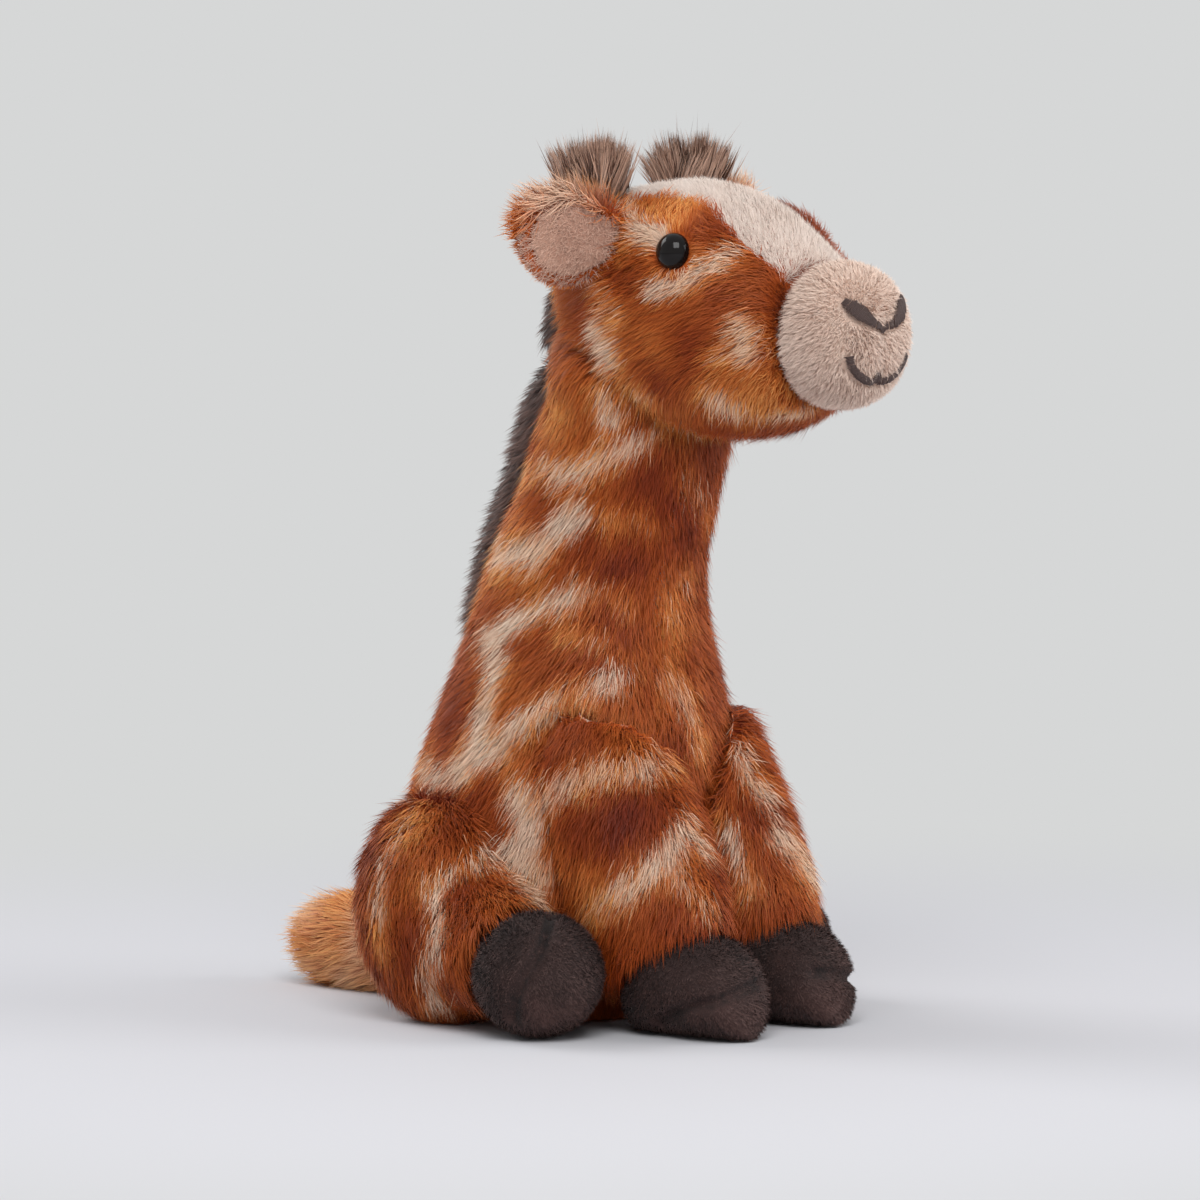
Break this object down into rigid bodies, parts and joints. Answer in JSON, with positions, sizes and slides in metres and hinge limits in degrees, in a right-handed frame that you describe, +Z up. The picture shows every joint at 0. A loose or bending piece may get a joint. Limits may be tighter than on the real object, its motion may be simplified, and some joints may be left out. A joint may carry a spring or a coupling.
{
  "type": "plush giraffe",
  "caption": "Seated stuffed toy giraffe in long-pile patterned plush, with a short-pile muzzle and hooves, safety eyes, a brown mane and tufts, and limbs that flex at their seams.",
  "frame": {"origin": "on the floor, on the flat underside of the seat, on the toy's middle plane", "axes": "+Z up, the giraffe faces -Y, its left side is +X; mirror symmetric about X = 0"},
  "size_m": [0.1626, 0.2463, 0.2889],
  "materials": {
    "coat": "matte",
    "minky": "matte",
    "ear_plush": "matte",
    "brown_plush": "matte",
    "brown_pile": "matte",
    "embroidery": "satin",
    "cotton": "matte",
    "fibrefill": "matte",
    "eye_plastic": "gloss",
    "washer_plastic": "satin"
  },
  "bodies": {
    "torso": {"torso_skin": "coat", "torso_filling": "fibrefill", "pellet_bag": "cotton", "mane_neck": "brown_pile"},
    "head": {"head_skin": "coat", "head_filling": "fibrefill", "muzzle": "minky", "mouth_stitch": "embroidery", "mane_nape": "brown_pile", "eye_left": "eye_plastic", "eye_right": "eye_plastic", "eye_washer_left": "washer_plastic", "eye_washer_right": "washer_plastic", "nostril_left": "embroidery", "nostril_right": "embroidery", "tuft_left": "brown_pile", "tuft_right": "brown_pile"},
    "ear_left_flap": {"ear_left": "coat", "ear_lining_left": "ear_plush"},
    "ear_right_flap": {"ear_right": "coat", "ear_lining_right": "ear_plush"},
    "front_limb_left": {"front_leg_left": "coat", "front_hoof_left": "brown_plush"},
    "front_limb_right": {"front_leg_right": "coat", "front_hoof_right": "brown_plush"},
    "hind_limb_left": {"hind_leg_left": "coat", "hind_foot_left": "brown_plush"},
    "hind_limb_right": {"hind_leg_right": "coat", "hind_foot_right": "brown_plush"},
    "tail_stub": {"tail": "coat"}
  },
  "joints": [
    {"name": "head_nod", "type": "hinge", "parent": "torso", "child": "head", "pos_m": [0, -0.0189, 0.212], "axis": [1, 0, 0], "range_deg": [-10, 12], "stiffness_Nm_per_rad": 0.8},
    {"name": "ear_left_fold", "type": "hinge", "parent": "head", "child": "ear_left_flap", "pos_m": [0.0276, -0.033, 0.256], "axis": [0, 0, 1], "range_deg": [-20, 20], "stiffness_Nm_per_rad": 0.02},
    {"name": "ear_right_fold", "type": "hinge", "parent": "head", "child": "ear_right_flap", "pos_m": [-0.0276, -0.033, 0.256], "axis": [0, 0, 1], "range_deg": [-20, 20], "stiffness_Nm_per_rad": 0.02},
    {"name": "front_leg_left_lift", "type": "hinge", "parent": "torso", "child": "front_limb_left", "pos_m": [0.0225, -0.028, 0.108], "axis": [-1, 0, 0], "range_deg": [0, 35], "stiffness_Nm_per_rad": 0.3},
    {"name": "front_leg_right_lift", "type": "hinge", "parent": "torso", "child": "front_limb_right", "pos_m": [-0.0225, -0.028, 0.108], "axis": [-1, 0, 0], "range_deg": [0, 35], "stiffness_Nm_per_rad": 0.3},
    {"name": "hind_leg_left_splay", "type": "hinge", "parent": "torso", "child": "hind_limb_left", "pos_m": [0.041, 0.05, 0.03], "axis": [0, 0, 1], "range_deg": [0, 20], "stiffness_Nm_per_rad": 0.3},
    {"name": "hind_leg_right_splay", "type": "hinge", "parent": "torso", "child": "hind_limb_right", "pos_m": [-0.041, 0.05, 0.03], "axis": [0, 0, -1], "range_deg": [0, 20], "stiffness_Nm_per_rad": 0.3},
    {"name": "tail_wag", "type": "hinge", "parent": "torso", "child": "tail_stub", "pos_m": [0, 0.071, 0.015], "axis": [0, 0, 1], "range_deg": [-25, 25], "stiffness_Nm_per_rad": 0.1}
  ]
}
